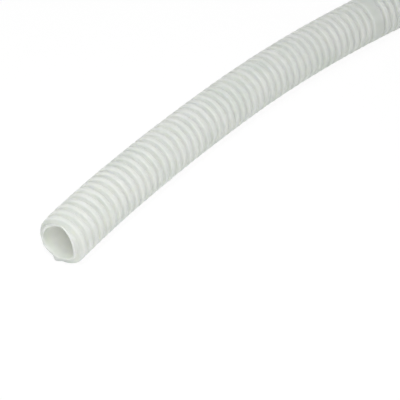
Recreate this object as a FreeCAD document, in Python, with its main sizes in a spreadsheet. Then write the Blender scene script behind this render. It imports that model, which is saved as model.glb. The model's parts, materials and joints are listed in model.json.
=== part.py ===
import FreeCAD, Part
import math
import os

# Corrugated conduit: one moulded tube with a smooth bore and ring ribs outside, lying on a floor. X and Y
# run along the floor and Z is up. Behind its cut mouth the tube bends gently clockwise, seen from above,
# until it runs straight toward +X.

os.makedirs("parts", exist_ok=True)
doc = FreeCAD.newDocument("corrugated_conduit")

# Driving sizes, in millimetres and degrees
driving_sizes = [
    ("stock_length", 1000.0),       # along the axis, from the mouth to the far cut
    ("rib_diameter", 20.0),         # over the ribs
    ("bore_diameter", 14.1),        # clear way through the tube
    ("wall", 0.6),                  # moulded wall between two ribs
    ("rib_pitch", 3.858),           # from one rib to the next
    ("rib_width", 2.5),             # of a rib at its foot
    ("rib_lean", 0.1),              # how far each side of a rib leans in from foot to crest
    ("shoulder_radius", 0.45),      # rounding between the side and the crest of a rib
    ("ribs_before_band", 49.0),     # ribs between the mouth and the plain band
    ("mouth_collar", 1.25),         # plain tube between the mouth and the foot of the first rib
    ("near_bend_length", 45.0),     # the bend behind the mouth, along the axis, in three arcs
    ("near_bend_radius", 583.0),
    ("easy_bend_length", 65.0),
    ("easy_bend_radius", 915.0),
    ("main_bend_radius", 508.0),
    ("whole_turn", 21.0),           # between the mouth and the straight leg
    ("bite_radius", 13.75),         # hollow of the cutter that bit the tube off at the mouth
    ("bite_reach", 0.72),           # how far the bitten end stands out in front of the mouth
    ("bite_rise", 0.6),             # where it stands out most, above the axis
    ("bite_lean", 4.84),            # how far the cutter was turned, so the left side is bitten deeper
    ("bite_guard", 0.05),           # collar that is left in front of the first rib everywhere
]
sizes = doc.addObject("Spreadsheet::Sheet", "Sizes")
for row, (alias, value) in enumerate(driving_sizes, start=1):
    sizes.set(f"A{row}", alias)
    sizes.set(f"B{row}", str(value))
    sizes.setAlias(f"B{row}", alias)
doc.recompute()

rib_radius = sizes.rib_diameter / 2
bore_radius = sizes.bore_diameter / 2
root_radius = bore_radius + sizes.wall
root_length = sizes.rib_pitch - sizes.rib_width
band_width = sizes.rib_pitch + sizes.rib_width      # the plain band takes the place of two ribs
# The stock starts just in front of the side of the mouth that stands out most
overhang = sizes.bite_reach + root_radius * math.tan(math.radians(sizes.bite_lean)) + sizes.wall

centre = FreeCAD.Vector(0, 0, 0)
ahead = FreeCAD.Vector(1, 0, 0)
left = FreeCAD.Vector(0, 1, 0)
up = FreeCAD.Vector(0, 0, 1)
no_turn = FreeCAD.Rotation()
straight_below = 0.001              # degrees: a stretch that turns less than this is a plain sleeve


def turn_at(distance):
    """Degrees that the axis has turned clockwise, at a distance along it from the mouth."""
    near = min(max(distance, 0.0), sizes.near_bend_length)
    easy = min(max(distance - sizes.near_bend_length, 0.0), sizes.easy_bend_length)
    main = max(distance - sizes.near_bend_length - sizes.easy_bend_length, 0.0)
    turn = near / sizes.near_bend_radius + easy / sizes.easy_bend_radius + main / sizes.main_bend_radius
    return min(math.degrees(turn), sizes.whole_turn)


def rib_faces(width):
    """Skin of one rib, from 0 to its width along the axis: half its outline, its mirror image, turned."""
    lean = sizes.rib_lean
    rounding = sizes.shoulder_radius
    slope = math.atan2(lean, rib_radius - root_radius)
    half_angle = (math.pi / 2 - slope) / 2
    # The rounding touches the leaning side and the level crest, the same distance from their corner
    reach = rounding * math.tan(half_angle)
    near_half = [
        (0, root_radius),
        (lean - reach * math.sin(slope), rib_radius - reach * math.cos(slope)),
        (lean + reach - rounding * math.sin(half_angle), rib_radius - rounding * (1 - math.cos(half_angle))),
        (lean + reach, rib_radius),
    ]
    far_half = [(width - distance, radius) for distance, radius in reversed(near_half)]
    foot, side_end, round_middle, crest_start = [FreeCAD.Vector(x, 0, radius) for x, radius in near_half]
    crest_end, far_middle, far_side, far_foot = [FreeCAD.Vector(x, 0, radius) for x, radius in far_half]
    outline = Part.Wire([
        Part.makeLine(foot, side_end),
        Part.Arc(side_end, round_middle, crest_start).toShape(),
        Part.makeLine(crest_start, crest_end),
        Part.Arc(crest_end, far_middle, far_side).toShape(),
        Part.makeLine(far_side, far_foot),
    ])
    return outline.revolve(centre, ahead, 360).Faces


def rim(radius):
    return Part.Vertex(0, 0, radius).revolve(centre, ahead, 360)


def sleeve(radius, length, turn):
    """Skin of a round stretch that runs straight or bends clockwise."""
    if abs(turn) < straight_below:
        return rim(radius).extrude(ahead * length)
    return rim(radius).revolve(bend_pivot(length, turn), up, -turn)


def bend_pivot(length, turn):
    return left * (-length / math.radians(turn))


def step(length, turn):
    """Placement of the end of a stretch, seen from its start."""
    if abs(turn) < straight_below:
        return FreeCAD.Placement(ahead * length, no_turn)
    return FreeCAD.Placement(centre, FreeCAD.Rotation(up, -turn), bend_pivot(length, turn))


def put(face, place):
    placed = face.copy()
    placed.Placement = place
    return placed


def end_face(place):
    """Flat ring that closes the wall at a square end."""
    rims = [Part.Wire(rim(radius)) for radius in (root_radius, bore_radius)]
    return put(Part.makeFace(rims, "Part::FaceMakerBullseye"), place)


def stretches():
    """Kind, length and turn of each stretch of the tube: stiff ribs, and roots that take all of the bend."""
    found = [("root", overhang + sizes.mouth_collar, 0.0)]
    distance = sizes.mouth_collar
    heading = turn_at(distance + sizes.rib_width / 2)
    number = 0
    while True:
        width = band_width if number == round(sizes.ribs_before_band) else sizes.rib_width
        found.append(("rib", width, 0.0))
        distance += width
        next_middle = distance + root_length + sizes.rib_width / 2
        if next_middle + sizes.rib_width / 2 + root_length / 2 > sizes.stock_length:
            break
        turn = turn_at(next_middle) - heading
        found.append(("root", root_length, turn))
        distance += root_length
        heading += turn
        number += 1
    found.append(("root", root_length / 2, 0.0))        # the far cut goes through the middle of a root
    return found


def stock_solid(tube):
    """The tube with square ends. Its bore has one face for each run that doesn't bend."""
    ribs = {width: rib_faces(width) for width in (sizes.rib_width, band_width)}
    place = FreeCAD.Placement(-ahead * overhang, no_turn)
    faces = [end_face(place)]
    run_start = place
    run_length = 0.0
    for kind, length, turn in tube:
        bends = abs(turn) >= straight_below
        if bends:
            faces.append(put(sleeve(bore_radius, run_length, 0.0), run_start))
            faces.append(put(sleeve(bore_radius, length, turn), place))
        if kind == "rib":
            faces += [put(face, place) for face in ribs[length]]
        else:
            faces.append(put(sleeve(root_radius, length, turn), place))
        place = place.multiply(step(length, turn))
        run_start = place if bends else run_start
        run_length = 0.0 if bends else run_length + length
    faces.append(put(sleeve(bore_radius, run_length, 0.0), run_start))
    faces.append(end_face(place))
    shell = Part.makeShell(faces)
    shell.sewShape()
    return Part.Solid(shell), place


stock = doc.addObject("Part::Feature", "stock")
stock.Label = "uncut_stock"
tube = stretches()
stock_shape, far_end = stock_solid(tube)
stock.Shape = stock_shape

# The cutter is a block with a round hollow across the tube. It bites the mouth off hollow side first, so
# the end stands out at the two sides and is cut back at top and bottom, as far as the first rib's guard.
cutter_block = doc.addObject("Part::Box", "cutter_block")
cutter_block.setExpression("Length", "Sizes.rib_diameter / 2 + Sizes.mouth_collar - Sizes.bite_guard")
cutter_block.setExpression("Width", "Sizes.rib_diameter")
cutter_block.setExpression("Height", "Sizes.rib_diameter")
cutter_block.setExpression("Placement.Base.x", "-Sizes.rib_diameter / 2")
cutter_block.setExpression("Placement.Base.y", "-Sizes.rib_diameter / 2")
cutter_block.setExpression("Placement.Base.z", "-Sizes.rib_diameter / 2")

cutter_hollow = doc.addObject("Part::Cylinder", "cutter_hollow")
cutter_hollow.setExpression("Radius", "Sizes.bite_radius")
cutter_hollow.setExpression("Height", "2 * Sizes.rib_diameter")
across = FreeCAD.Rotation(up, -sizes.bite_lean).multiply(FreeCAD.Rotation(ahead, -90))
hollow_middle = ahead * (sizes.bite_radius - sizes.bite_reach) + up * sizes.bite_rise
cutter_hollow.Placement = FreeCAD.Placement(hollow_middle, across).multiply(
    FreeCAD.Placement(-up * sizes.rib_diameter, no_turn))

cutter = doc.addObject("Part::Cut", "cutter")
cutter.Base = cutter_block
cutter.Tool = cutter_hollow

conduit = doc.addObject("Part::Cut", "corrugated_conduit")
conduit.Label = "corrugated_conduit"
conduit.Base = stock
conduit.Tool = cutter
conduit.Refine = False
doc.recompute()

# Turned so that the straight leg runs along X, and laid on the floor at Z = 0 with the middle of its box
# over the origin. Its flat and its cylindrical faces reach furthest.
leg_along_x = FreeCAD.Rotation(up, sum(turn for kind, length, turn in tube))
conduit.Placement = FreeCAD.Placement(centre, leg_along_x)
box = FreeCAD.BoundBox()
for face in conduit.Shape.Faces:
    if isinstance(face.Surface, (Part.Plane, Part.Cylinder)):
        box.add(face.BoundBox)
conduit.Placement = FreeCAD.Placement(-FreeCAD.Vector(box.Center.x, box.Center.y, box.ZMin), leg_along_x)
doc.recompute()

faults = [item.Label for item in doc.Objects if {"Invalid", "Error"} & set(item.State)]
if faults or conduit.Shape.isNull() or not conduit.Shape.isValid():
    raise SystemExit(f"failed objects: {faults}, conduit valid: {conduit.Shape.isValid()}")

ribs = [length for kind, length, turn in tube if kind == "rib"]
axis_length = sum(length for kind, length, turn in tube) - overhang
print("solids", len(conduit.Shape.Solids), "faces", len(conduit.Shape.Faces), "ribs", len(ribs))
print("length along the axis", round(axis_length, 3), "volume", round(conduit.Shape.Volume, 1))
print("box", box.XLength, box.YLength, box.ZLength)
print("mouth centre", conduit.Placement.Base, "far end", conduit.Placement.multVec(far_end.Base))
conduit.Shape.exportStep(f"parts/{conduit.Label}.step")
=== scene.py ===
import bpy
import json
import math
import numpy as np
from mathutils import Matrix, Vector


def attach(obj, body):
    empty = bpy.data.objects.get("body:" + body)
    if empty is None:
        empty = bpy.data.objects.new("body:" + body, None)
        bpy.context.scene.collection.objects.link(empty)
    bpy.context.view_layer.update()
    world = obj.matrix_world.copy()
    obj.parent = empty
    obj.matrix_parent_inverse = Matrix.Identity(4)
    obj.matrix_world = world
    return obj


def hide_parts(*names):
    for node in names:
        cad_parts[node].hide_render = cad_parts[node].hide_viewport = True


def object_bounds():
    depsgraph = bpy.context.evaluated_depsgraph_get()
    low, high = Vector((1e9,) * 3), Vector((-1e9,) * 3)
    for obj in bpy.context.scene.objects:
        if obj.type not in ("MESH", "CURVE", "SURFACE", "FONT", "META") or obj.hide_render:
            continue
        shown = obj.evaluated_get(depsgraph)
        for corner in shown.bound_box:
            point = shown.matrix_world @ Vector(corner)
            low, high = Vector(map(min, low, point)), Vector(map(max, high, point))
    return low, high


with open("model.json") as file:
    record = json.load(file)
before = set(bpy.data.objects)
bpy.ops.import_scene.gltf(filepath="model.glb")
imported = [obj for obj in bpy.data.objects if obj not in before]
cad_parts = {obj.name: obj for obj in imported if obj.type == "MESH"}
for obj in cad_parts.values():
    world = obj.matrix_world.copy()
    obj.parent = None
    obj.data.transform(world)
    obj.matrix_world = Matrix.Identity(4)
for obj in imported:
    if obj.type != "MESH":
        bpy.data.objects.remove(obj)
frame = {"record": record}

cadBounds = [list(corner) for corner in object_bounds()]
millimetre = 0.001

# Lengths are in millimetres and angles in degrees until a mesh is written in metres.
tube = {
    "ribDiameter": 20.0,
    "boreDiameter": 14.1,
    "wall": 0.6,
    "pitch": 3.858,
    "ribWidth": 2.5,            # at the foot of a rib
    # A rib's side toward the mouth leans and rounds more than its far side
    "nearSide": {"lean": 0.3, "shoulder": 0.75, "fillet": 0.3},
    "farSide": {"lean": 0.08, "shoulder": 0.42, "fillet": 0.2},
    "crestCrown": 0.03,         # how far the middle of a crest stands above its edges
    "crownEdge": (0.08, 0.2),   # this far in from a shoulder, the crest has this share of its crown
    "ribNudge": 0.03,           # how far a rib is out of its place, as a standard deviation
    "ribSwell": 0.02,           # and out of its height
    "collar": 1.25,             # from the mouth to the foot of the first rib
    "ribsBeforeBand": 49,
    "stockLength": 1000.0,
    "nearBend": (45.0, 583.0),  # length and radius of each arc behind the mouth
    "easyBend": (65.0, 915.0),
    "mainBendRadius": 508.0,
    "wholeTurn": 21.0,
    "pathMargin": 10.0,         # how far the path is worked out beyond both ends
    "pathPoints": 8161,
    # Waves that put the tube out of round: lobes, height, millimetres along it to a radian, start in radians
    "roundWaves": ((2, 0.03, 61.0, 0.0), (3, 0.014, -23.0, 1.0), (5, 0.008, 9.0, 0.0)),
    "roundEnds": 4.0,           # they fade out over this length at both ends
    "partGap": 0.004,           # keeps the end caps of two pieces off each other
}
ribRadius = tube["ribDiameter"] / 2
boreRadius = tube["boreDiameter"] / 2
rootRadius = boreRadius + tube["wall"]
rootLength = tube["pitch"] - tube["ribWidth"]
draw = np.random.default_rng(7)     # seeded, so that every run gives the same tube


# Foot of each rib along the axis, and its width. The plain band takes the place of two ribs.
def ribStarts():
    starts = []
    start = tube["collar"]
    while True:
        isBand = len(starts) == tube["ribsBeforeBand"]
        width = tube["pitch"] + tube["ribWidth"] if isBand else tube["ribWidth"]
        if start + width + rootLength / 2 > tube["stockLength"]:
            return starts
        starts.append((start, width))
        start += width + rootLength


ribs = ribStarts()
farCut = ribs[-1][0] + ribs[-1][1] + rootLength / 2


# Path of the axis, seen from above: three arcs that turn clockwise, then straight along X.
# Heading in radians: the whole turn less each arc's length so far divided by its radius.
def headingAt(distance):
    nearLength, nearRadius = tube["nearBend"]
    easyLength, easyRadius = tube["easyBend"]
    turned = np.minimum(distance, nearLength) / nearRadius
    turned = turned + np.clip(distance - nearLength, 0, easyLength) / easyRadius
    turned = turned + np.maximum(distance - nearLength - easyLength, 0) / tube["mainBendRadius"]
    whole = math.radians(tube["wholeTurn"])
    return whole - np.minimum(turned, whole)


# Adds up the headings into points, and slides them so that the far end meets the CAD tube's end.
def layPath():
    headings = headingAt(pathSteps)
    stride = pathSteps[1] - pathSteps[0]
    runs = []
    for component in (np.cos(headings), np.sin(headings)):
        middles = (component[1:] + component[:-1]) / 2
        runs.append(np.concatenate([[0.0], np.cumsum(middles * stride)]))
    farMount = next(mount for mount in frame["record"]["mounts"] if mount["name"] == "far_end")
    endX = cadBounds[1][0] / millimetre
    endY = farMount["pos_m"][1] / millimetre
    runs[0] += endX - np.interp(farCut, pathSteps, runs[0])
    runs[1] += endY - np.interp(farCut, pathSteps, runs[1])
    return runs


pathSteps = np.linspace(-tube["pathMargin"], tube["stockLength"] + tube["pathMargin"], tube["pathPoints"])
pathX, pathY = layPath()
print("laid the path of", len(ribs), "ribs, far cut at", round(farCut, 3), "mm")


# Point = axis point at the distance + radius times (cosine of the angle to the left, sine of it up).
def placeOnTube(distance, angle, radius):
    heading = headingAt(distance)
    x = np.interp(distance, pathSteps, pathX) - radius * np.cos(angle) * np.sin(heading)
    y = np.interp(distance, pathSteps, pathY) + radius * np.cos(angle) * np.cos(heading)
    z = ribRadius + radius * np.sin(angle)
    return np.stack([x, y, z], axis=-1)


# Half a rib's outline as distance and radius: foot fillet, leaning side, shoulder, edge of the crest.
# Each rounding is an arc that touches the lines on both sides of it. It starts at its radius times the
# tangent of half its turn from their corner.
def halfOutline(side, filletSteps, shoulderSteps):
    slope = math.atan2(side["lean"], ribRadius - rootRadius)
    turn = math.pi / 2 - slope
    filletReach = side["fillet"] * math.tan(turn / 2)
    shoulderReach = side["shoulder"] * math.tan(turn / 2)
    footTurn = np.linspace(0.0, turn, filletSteps)
    foot = np.array([-filletReach, rootRadius + side["fillet"]])
    foot = foot + side["fillet"] * np.stack([np.sin(footTurn), -np.cos(footTurn)], axis=1)
    crestTurn = slope + np.linspace(0.0, turn, shoulderSteps)
    crest = np.array([side["lean"] + shoulderReach, ribRadius - side["shoulder"]])
    crest = crest + side["shoulder"] * np.stack([-np.cos(crestTurn), np.sin(crestTurn)], axis=1)
    inward, crownShare = tube["crownEdge"]
    edge = crest[-1:] + [inward, crownShare * tube["crestCrown"]]
    return np.concatenate([foot, crest, edge])


# A rib's whole outline: its near half, the middle of its crest, and its far half turned round.
def ribOutline(width, filletSteps, shoulderSteps):
    near = halfOutline(tube["nearSide"], filletSteps, shoulderSteps)
    far = halfOutline(tube["farSide"], filletSteps, shoulderSteps)[::-1] * [-1, 1] + [width, 0]
    middle = [[(near[-1, 0] + far[0, 0]) / 2, ribRadius + tube["crestCrown"]]]
    return np.concatenate([near, middle, far])


# Each rib is a hair out of its place and height, as moulded ribs are.
ribWander = np.stack(
    [draw.normal(0, tube["ribNudge"], len(ribs)), draw.normal(0, tube["ribSwell"], len(ribs))], axis=1)


# Distances and radii of the outer skin's rings from rib first to rib last: each rib's outline, moved by its
# own nudge and swollen in proportion to its height, and a ring in the middle of the root behind it.
def outerRings(first, last, settings):
    rings = []
    for number in range(first, last + 1):
        start, width = ribs[number]
        outline = ribOutline(width, settings["filletSteps"], settings["shoulderSteps"])
        outline[:, 0] += start
        nudge, swell = ribWander[number]
        outline[:, 0] += nudge
        outline[:, 1] += swell * (outline[:, 1] - rootRadius) / (ribRadius - rootRadius)
        rings.append(outline)
        rings.append(np.array([[start + width + rootLength / 2, rootRadius]]))
    return np.concatenate(rings)


# Small change of radius: a sum of slow cosine waves round the tube, which drift along it.
def outOfRound(distance, angle):
    change = 0.0
    for lobes, height, drift, start in tube["roundWaves"]:
        change = change + height * np.cos(lobes * angle + distance / drift + start)
    return change


mouth = {
    "mean": 0.155,              # how far the rim lies behind the mouth's own point, on average
    "waves": ((1, 0.582, -0.298), (2, -0.86, -0.121), (3, -0.082, -0.115)),     # lobes, cosine, sine
    "collarLeft": 0.08,         # collar that the waves leave in front of the first rib everywhere
    "tearLobes": (7, 11, 13, 19, 29),   # small tears along the cut, as waves
    "tearSize": 0.05,
    "tearLeast": 0.3,           # share of that size which each wave has at least
    "tearStarts": 6.28,         # each wave starts anywhere within this, in radians
    "lipIn": 0.14,              # how far the bite pressed the lip inwards
    "lipDepth": 1.1,
    # Rings of the lip: shares of its depth, of lipIn and of the flare
    "lipRings": ((2.0, 0.0, 0.0), (1.0, 0.25, 0.25), (0.5, 0.7, 0.6)),
    "boreGap": 2.0,             # from the lip's last ring to the first plain ring of the bore
    "rimRounding": 0.1,
    "rimSteps": 4,
    "collarRings": (0.3, 0.65),     # shares of the way from the rim to the first rib
    # Lobes: their angle, how wide they are before and after it, and what they do. The lip is bent outwards,
    # the cut left a tab, the first rib is pressed in, and its grooves are fuller.
    "flare": {"angle": 306.0, "spread": (44.0, 44.0), "forward": 0.75, "outward": 0.5},
    "burr": {"angle": 283.0, "spread": (22.0, 8.0), "forward": 0.7, "outward": 1.1},
    "softRib": {"angle": 8.0, "spread": (58.0, 58.0), "less": 0.38},
    "fullFoot": {"angle": 36.0, "spread": (36.0, 36.0), "filled": 1.2},
    "skinSlack": 0.05,          # an outer ring may lie this far inside the root
}


# 1 at the lobe's own angle round the tube, falling on each side as e to the minus square of the offset over
# that side's width.
def lobeShare(angle, lobe):
    offset = np.degrees(np.angle(np.exp(1j * (angle - math.radians(lobe["angle"])))))
    before, after = lobe["spread"]
    return np.exp(-(offset / np.where(offset < 0, before, after)) ** 2)


# The small tears: each wave's size falls with the square root of its lobes.
tears = [(lobes, mouth["tearSize"] * draw.uniform(mouth["tearLeast"], 1.0)
          / math.sqrt(lobes / mouth["tearLobes"][0]), draw.uniform(0, mouth["tearStarts"]))
         for lobes in mouth["tearLobes"]]


# Distance of the bitten rim: its mean, waves of one to three lobes and the small tears, held in front of the
# first rib, less what the flare and the burr stand forward.
def rimPlace(angle):
    place = np.full_like(angle, mouth["mean"])
    for lobes, cosine, sine in mouth["waves"]:
        place = place + cosine * np.cos(lobes * angle) + sine * np.sin(lobes * angle)
    for lobes, size, start in tears:
        place = place + size * np.sin(lobes * angle + start)
    place = np.minimum(place, tube["collar"] - mouth["collarLeft"])
    for lobe in (mouth["flare"], mouth["burr"]):
        place = place - lobe["forward"] * lobeShare(angle, lobe)
    return place


# Rings of the mouth from inside to outside: bore, lip, the rounded cut face, and the collar's outer skin.
# The flare moves the whole lip outwards and the burr only its outer edge, and both fade as a square toward
# the first rib, where the fuller foot takes over.
def mouthSkin(angle):
    rim = rimPlace(angle)
    rounding = mouth["rimRounding"]
    bent = mouth["flare"]["outward"] * lobeShare(angle, mouth["flare"])
    pushed = bent + mouth["burr"]["outward"] * lobeShare(angle, mouth["burr"])
    filled = mouth["fullFoot"]["filled"] * lobeShare(angle, mouth["fullFoot"])
    inner = boreRadius - mouth["lipIn"] + bent
    outer = rootRadius + pushed
    rings = []
    for depth, pressed, flared in mouth["lipRings"]:
        rings.append((rim + depth * mouth["lipDepth"], boreRadius - pressed * mouth["lipIn"] + flared * bent))
    for turn in np.linspace(0, math.pi / 2, mouth["rimSteps"]):
        rings.append((rim + rounding * (1 - math.sin(turn)), inner + rounding * (1 - math.cos(turn))))
    for turn in np.linspace(math.pi / 2, 0, mouth["rimSteps"]):
        rings.append((rim + rounding * (1 - math.sin(turn)), outer - rounding * (1 - math.cos(turn))))
    collarLength = tube["collar"] - tube["nearSide"]["fillet"] - rim - rounding
    for part in mouth["collarRings"]:
        radius = rootRadius + pushed * (1 - part) ** 2 + filled * part
        rings.append((rim + rounding + part * collarLength, radius))
    return [np.stack(ring, axis=-1) for ring in rings]


# The cut pressed the first rib in: one lobe takes from its height, and another fills the groove behind it,
# most in the middle of the groove.
def pressedRib(place, angles, radius):
    start, width = ribs[0]
    halfRoot = 0.5 * rootLength
    rise = np.clip((radius - rootRadius) / (ribRadius - rootRadius), 0, 1)
    onRib = (place > 0.5 * start) & (place < start + width + halfRoot)
    inGroove = np.clip(1 - np.abs(place - start - width - halfRoot) / rootLength, 0, 1)
    onSkin = radius > rootRadius - mouth["skinSlack"]
    taken = mouth["softRib"]["less"] * lobeShare(angles, mouth["softRib"])
    filled = mouth["fullFoot"]["filled"] * lobeShare(angles, mouth["fullFoot"])
    return radius - taken * onRib * rise + filled * inGroove * (1 - rise) * onSkin


# Closed mesh from rings of points: neighbouring rings are joined, and so are the last and the first.
def skinMesh(name, grid):
    ringCount, around = grid.shape[:2]
    ring = np.arange(ringCount)[:, None]
    spot = np.arange(around)[None, :]
    nextRing = (ring + 1) % ringCount
    nextSpot = (spot + 1) % around
    corners = [
        ring * around + spot,
        ring * around + nextSpot,
        nextRing * around + nextSpot,
        nextRing * around + spot,
    ]
    faces = np.stack(corners, axis=-1).reshape(-1, 4)
    mesh = bpy.data.meshes.new(name)
    mesh.vertices.add(ringCount * around)
    mesh.vertices.foreach_set("co", (grid.reshape(-1, 3) * millimetre).ravel())
    mesh.loops.add(faces.size)
    mesh.loops.foreach_set("vertex_index", faces.ravel())
    mesh.polygons.add(len(faces))
    mesh.polygons.foreach_set("loop_start", np.arange(0, faces.size, 4))
    mesh.polygons.foreach_set("loop_total", np.full(len(faces), 4))
    mesh.polygons.foreach_set("use_smooth", np.ones(len(faces), bool))
    mesh.update()
    mesh.validate()
    return mesh


# One number for each point of a mesh, which its material can read by name.
def addAttribute(mesh, name, values):
    attribute = mesh.attributes.new(name, "FLOAT", "POINT")
    attribute.data.foreach_set("value", values.astype(np.float32).ravel())


# A ring with the same distance and radius all round.
def plainRing(place, radius, around):
    return np.stack([np.full(around, place), np.full(around, radius)], axis=-1)


# The lengths of tube, from the mouth on. Fine rings go where the camera looks closely, and None stands for
# all the ribs that are left.
pieces = {
    "conduit_mouth_length": {"ribs": 32, "around": 112, "filletSteps": 4, "shoulderSteps": 7},
    "conduit_band_length": {"ribs": 56, "around": 72, "filletSteps": 3, "shoulderSteps": 5},
    "conduit_middle_length": {"ribs": 56, "around": 64, "filletSteps": 3, "shoulderSteps": 5},
    "conduit_far_length": {"ribs": 56, "around": 64, "filletSteps": 3, "shoulderSteps": 5},
    "conduit_end_length": {"ribs": None, "around": 64, "filletSteps": 3, "shoulderSteps": 5},
}


# One length of the tube: its outer skin from one end to the other, and back through the bore. Each ring
# holds a distance and a radius for every angle, and the points stay inside the CAD tube's box.
def lengthPiece(name, first, last, settings):
    around = settings["around"]
    angle = np.linspace(0, 2 * math.pi, around, endpoint=False)
    outer = outerRings(first, last, settings)
    if first == 0:
        boreStart = 2 * mouth["lipDepth"] + mouth["boreGap"]
        rings = mouthSkin(angle)
    else:
        boreStart = ribs[first][0] - rootLength / 2 + tube["partGap"]
        rings = [plainRing(boreStart, rootRadius, around)]
    if last < len(ribs) - 1:
        outer[-1, 0] -= tube["partGap"]
    boreEnd = outer[-1, 0]
    rings += [plainRing(place, radius, around) for place, radius in outer]
    boreCount = max(int((boreEnd - boreStart) / tube["pitch"]), 2)
    rings += [plainRing(place, boreRadius, around) for place in np.linspace(boreEnd, boreStart, boreCount)]
    grid = np.stack(rings)
    place = grid[..., 0]
    angles = np.broadcast_to(angle, place.shape)
    fromMouth = np.clip(place / tube["roundEnds"], 0, 1)
    fromEnd = np.clip((farCut - place) / tube["roundEnds"], 0, 1)
    radius = grid[..., 1] + outOfRound(place, angles) * fromMouth * fromEnd
    radius = pressedRib(place, angles, np.minimum(radius, ribRadius))
    points = placeOnTube(place, angles, radius)
    points = np.clip(points, np.array(cadBounds[0]) / millimetre, np.array(cadBounds[1]) / millimetre)
    mesh = skinMesh(name, points)
    addAttribute(mesh, "along", place)
    addAttribute(mesh, "height", radius)
    piece = bpy.data.objects.new(name, mesh)
    bpy.context.scene.collection.objects.link(piece)
    return piece


# Shader maths: a socket that takes part in Python sums. Each operator adds one Math node.
class Value:

    def __init__(self, nodes, socket):
        self.nodes = nodes
        self.socket = socket

    def maths(self, operation, left, right):
        node = self.nodes.node("ShaderNodeMath", {"operation": operation}, [left, right])
        return Value(self.nodes, node.outputs[0])

    def __add__(self, other):
        return self.maths("ADD", self, other)

    def __radd__(self, other):
        return self.maths("ADD", other, self)

    def __sub__(self, other):
        return self.maths("SUBTRACT", self, other)

    def __rsub__(self, other):
        return self.maths("SUBTRACT", other, self)

    def __mul__(self, other):
        return self.maths("MULTIPLY", self, other)

    def __rmul__(self, other):
        return self.maths("MULTIPLY", other, self)

    def __truediv__(self, other):
        return self.maths("DIVIDE", self, other)

    def __rtruediv__(self, other):
        return self.maths("DIVIDE", other, self)

    def atLeast(self, other):
        return self.maths("MAXIMUM", self, other)

    def atMost(self, other):
        return self.maths("MINIMUM", self, other)

    # 0 below low, 1 above high, a straight line in between.
    def between(self, low, high):
        return ((self - low) / (high - low)).atLeast(0.0).atMost(1.0)


# The node tree of a material or of the world, with one method that makes any node.
class Nodes:

    def __init__(self, data):
        data.use_nodes = True
        self.data = data
        self.tree = data.node_tree
        self.tree.nodes.clear()

    def node(self, kind, settings=None, values=None):
        node = self.tree.nodes.new(kind)
        for key, setting in (settings or {}).items():
            setattr(node, key, setting)
        pairs = values.items() if isinstance(values, dict) else enumerate(values or [])
        for key, value in pairs:
            if isinstance(value, Value):
                self.tree.links.new(value.socket, node.inputs[key])
            elif isinstance(value, bpy.types.NodeSocket):
                self.tree.links.new(value, node.inputs[key])
            else:
                node.inputs[key].default_value = value
        return node

    def attribute(self, name):
        node = self.node("ShaderNodeAttribute", {"attribute_name": name})
        return Value(self, node.outputs["Fac"])

    def noise(self, place, scale, detail, roughness):
        node = self.node("ShaderNodeTexNoise", None,
                         {"Vector": place, "Scale": scale, "Detail": detail, "Roughness": roughness})
        return Value(self, node.outputs["Fac"])

    def mixColour(self, share, first, second):
        node = self.node("ShaderNodeMix", {"data_type": "RGBA"}, {"Factor": share, "A": first, "B": second})
        return node.outputs["Result"]


# A screen colour, 0 to 255, as the linear colour that a node takes: a straight line for the darkest levels,
# and a power of 2.4 above them.
def rgb(red, green, blue):
    linear = []
    for level in (red, green, blue):
        share = level / 255
        linear.append(share / 12.92 if share <= 0.04045 else ((share + 0.055) / 1.055) ** 2.4)
    return (*linear, 1.0)


plastic = {
    "colour": (229, 232, 227),
    "cloudColour": (222, 227, 221),
    "paintedGrooveLight": (240, 241, 239),      # painted light: a lighter colour on the thin wall between the ribs, for the light that soaks through it
    "paintedBoreLight": (254, 255, 250),      # painted light: the same wall from inside, lighter still for the light that comes through it
    # Noises: scale, detail and roughness
    "clouds": (90.0, 3.0, 0.5),         # about a centimetre wide
    "streaks": (700.0, 2.0, 0.5),
    "grain": (2600.0, 2.0, 0.6),        # fine moulding grain
    "cloudEdges": (0.38, 0.66),         # levels of the noise between which one colour turns into the other
    "thinEdges": (0.1, 0.5),            # above the wall and below the crest, in millimetres
    "boreEdges": (0.1, 0.4),            # outside the bore
    "boreFade": (1.5, 6.0),             # along the tube, behind the mouth
    "roughness": 0.42,
    "boreMatt": 0.2,                    # how much rougher the bore is
    "streakMatt": 0.16,                 # how much the streaks change the roughness
    "streakShare": 0.6,                 # shares of the streaks and the grain in the bump
    "grainShare": 0.4,
    "bumpStrength": 0.12,
    "bumpDistance": 0.0002,             # in metres
    "scatterRadius": (1.0, 1.0, 0.9),   # red, green and blue light under the skin, as shares of the reach
    "scatterReach": 0.003,              # in metres
}
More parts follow.
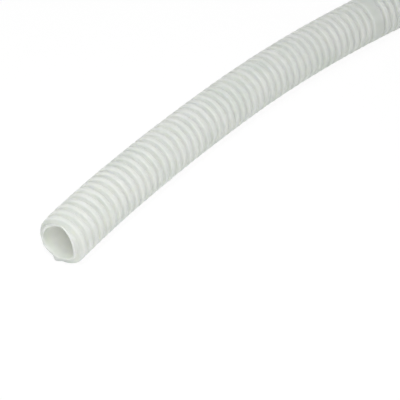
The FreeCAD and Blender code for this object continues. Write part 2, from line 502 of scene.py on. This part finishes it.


# Pale moulded plastic with a satin skin: clouds mix its two colours. Light is painted into the colour: it is
# lighter on the thin wall between the ribs behind the mouth, for light that soaks through, and lighter again
# in the bore. Streaks change the roughness, and streaks and grain make the bump.
def conduitPlastic():
    nodes = Nodes(bpy.data.materials.new("conduit_plastic"))
    place = nodes.node("ShaderNodeTexCoord").outputs["Object"]
    clouds = nodes.noise(place, *plastic["clouds"])
    streaks = nodes.noise(place, *plastic["streaks"])
    grain = nodes.noise(place, *plastic["grain"])
    along = nodes.attribute("along")
    height = nodes.attribute("height")
    aboveWall, belowCrest = plastic["thinEdges"]
    thin = 1 - height.between(rootRadius + aboveWall, ribRadius - belowCrest)
    behindMouth = along.between(tube["collar"], tube["collar"] + tube["pitch"])
    boreLow, boreHigh = plastic["boreEdges"]
    inBore = 1 - height.between(boreRadius + boreLow, boreRadius + boreHigh)
    paintedBoreLightShare = inBore * along.between(*plastic["boreFade"])
    cloudy = clouds.between(*plastic["cloudEdges"])
    colour = nodes.mixColour(cloudy, rgb(*plastic["colour"]), rgb(*plastic["cloudColour"]))
    # Painted light: the thin wall between the ribs is lighter, for light that soaks through it.
    colour = nodes.mixColour(thin * behindMouth * (1 - inBore), colour, rgb(*plastic["paintedGrooveLight"]))
    # Painted light: the bore is lighter still behind the mouth, for light that comes through the wall.
    colour = nodes.mixColour(paintedBoreLightShare, colour, rgb(*plastic["paintedBoreLight"]))
    roughness = plastic["roughness"] + (streaks - 0.5) * plastic["streakMatt"] + inBore * plastic["boreMatt"]
    bump = nodes.node("ShaderNodeBump", None, {
        "Strength": plastic["bumpStrength"],
        "Distance": plastic["bumpDistance"],
        "Height": grain * plastic["grainShare"] + streaks * plastic["streakShare"],
    })
    shader = nodes.node("ShaderNodeBsdfPrincipled", None, {
        "Base Color": colour,
        "Roughness": roughness,
        "IOR": 1.46,
        "Specular IOR Level": 0.4,
        "Subsurface Weight": 1.0,
        "Subsurface Radius": plastic["scatterRadius"],
        "Subsurface Scale": plastic["scatterReach"],
        "Normal": bump.outputs[0],
    })
    nodes.node("ShaderNodeOutputMaterial", None, {"Surface": shader.outputs[0]})
    return nodes.data


white = (1.0, 1.0, 1.0, 1.0)
studio = {
    "floorSize": 6.0,           # in metres
    "floorLevel": 0.97,
    "floorGlow": 0.88,          # share of the floor's picture that is plain white
    "glowStrength": 1.04,
    "roomLevel": 0.43,
    "diffuseBounces": 14,       # light goes to and fro many times inside a pale tube
    "allBounces": 24,
}


# 1 for rays from the camera and for rays that gloss or glass sends on: the largest of the three.
def whiteRays(nodes):
    rays = nodes.node("ShaderNodeLightPath").outputs
    seen = Value(nodes, rays["Is Camera Ray"])
    return seen.atLeast(rays["Is Glossy Ray"]).atLeast(rays["Is Transmission Ray"])


# A plain white floor that keeps the tube's shadow.
def buildFloor():
    half = studio["floorSize"] / 2
    mesh = bpy.data.meshes.new("studio_floor")
    corners = [(-half, -half, 0.0), (half, -half, 0.0), (half, half, 0.0), (-half, half, 0.0)]
    mesh.from_pydata(corners, [], [(0, 1, 2, 3)])
    floor = bpy.data.objects.new("studio_floor", mesh)
    bpy.context.scene.collection.objects.link(floor)
    nodes = Nodes(bpy.data.materials.new("studio_floor"))
    level = studio["floorLevel"]
    paint = nodes.node("ShaderNodeBsdfDiffuse", None, {"Color": (level, level, level, 1.0)})
    glow = nodes.node("ShaderNodeEmission", None, {"Color": white, "Strength": studio["glowStrength"]})
    share = whiteRays(nodes) * studio["floorGlow"]
    mixed = nodes.node("ShaderNodeMixShader", None, [share, paint.outputs[0], glow.outputs[0]])
    nodes.node("ShaderNodeOutputMaterial", None, {"Surface": mixed.outputs[0]})
    floor.data.materials.append(nodes.data)


# Even room light, and plain white where the camera sees past the floor.
def buildRoom():
    world = bpy.data.worlds.new("studio")
    bpy.context.scene.world = world
    nodes = Nodes(world)
    light = nodes.node("ShaderNodeBackground", None, {"Color": white, "Strength": studio["roomLevel"]})
    backdrop = nodes.node("ShaderNodeBackground", None, {"Color": white, "Strength": 1.0})
    mixed = nodes.node("ShaderNodeMixShader", None, [whiteRays(nodes), light.outputs[0], backdrop.outputs[0]])
    nodes.node("ShaderNodeOutputWorld", None, {"Surface": mixed.outputs[0]})


# Soft square lamps, placed in metres from the mouth in the photograph's axes: right, away and up. One stands
# over the mouth, one over the hidden leg, and two light the tube from the left and from the front.
softLights = [
    {"name": "highLight", "from": (0.03, -0.13, 0.33), "aim": (0.01, 0.02, 0.0),
     "size": 0.22, "watts": 0.23, "spread": 105.0},
    {"name": "legLight", "from": (0.68, 0.55, 0.6), "aim": (0.68, 0.55, 0.0),
     "size": 0.4, "watts": 0.6, "spread": 100.0},
    {"name": "leftLight", "from": (-0.7, 0.1, 0.4), "aim": (0.04, 0.05, 0.0),
     "size": 0.4, "watts": 0.3, "spread": 180.0},
    {"name": "frontLight", "from": (0.09, -0.93, 0.77), "aim": (0.04, 0.05, 0.0),
     "size": 0.4, "watts": 1.4, "spread": 180.0},
]


# Each lamp's own -Z looks from its place at its aim.
def buildLights(origin, turn):
    for light in softLights:
        data = bpy.data.lights.new(light["name"], "AREA")
        data.size = light["size"]
        data.energy = light["watts"]
        data.spread = math.radians(light["spread"])
        lamp = bpy.data.objects.new(light["name"], data)
        bpy.context.scene.collection.objects.link(lamp)
        lamp.location = origin + turn @ Vector(light["from"])
        direction = origin + turn @ Vector(light["aim"]) - lamp.location
        lamp.rotation_euler = direction.to_track_quat("-Z", "Y").to_euler()


view = {
    "fromMouth": (51.14, -506.55, 416.53),      # right, away and up from the mouth's point, in millimetres
    "down": 38.0552,                            # how far the camera looks down
    "tubeAngle": 59.533,                        # of the tube's heading at the mouth, from the camera's right
    "lens": 162.576,
    "sensor": 36.0,
    "farthest": 20.0,                           # the camera sees this far, in metres
}


# The photograph's point of view: a level camera turned down about its own right.
def buildCamera(origin, turn):
    data = bpy.data.cameras.new("camera")
    data.lens = view["lens"]
    data.sensor_width = view["sensor"]
    data.clip_end = view["farthest"]
    camera = bpy.data.objects.new("camera", data)
    bpy.context.scene.collection.objects.link(camera)
    look = Matrix.Rotation(math.radians(90 - view["down"]), 3, "X")
    camera.rotation_euler = (turn @ look).to_euler()
    camera.location = origin + turn @ (Vector(view["fromMouth"]) * millimetre)
    bpy.context.scene.camera = camera


# The conduit
plasticMaterial = conduitPlastic()
print("mixed the plastic")
first = 0
for name, settings in pieces.items():
    last = len(ribs) - 1 if settings["ribs"] is None else first + settings["ribs"] - 1
    piece = lengthPiece(name, first, last, settings)
    piece.data.materials.append(plasticMaterial)
    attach(piece, "root")
    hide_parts("corrugated_conduit")
    triangles = 2 * len(piece.data.polygons)
    print("built", name, "ribs", first, "to", last, "triangles", triangles)
    first = last + 1

# The studio. The photograph's axes are turned until the tube's heading at the mouth is the path's.
mouthPoint = Vector(placeOnTube(np.array(0.0), np.array(0.0), 0.0)) * millimetre
photoTurn = Matrix.Rotation(math.radians(tube["wholeTurn"] - view["tubeAngle"]), 3, "Z")
buildFloor()
buildRoom()
buildLights(mouthPoint, photoTurn)
buildCamera(mouthPoint, photoTurn)
bpy.context.scene.view_settings.view_transform = "Standard"
bpy.context.scene.cycles.diffuse_bounces = studio["diffuseBounces"]
bpy.context.scene.cycles.max_bounces = studio["allBounces"]
print("set up floor, room, lamps and camera round the mouth at", [round(value, 6) for value in mouthPoint])
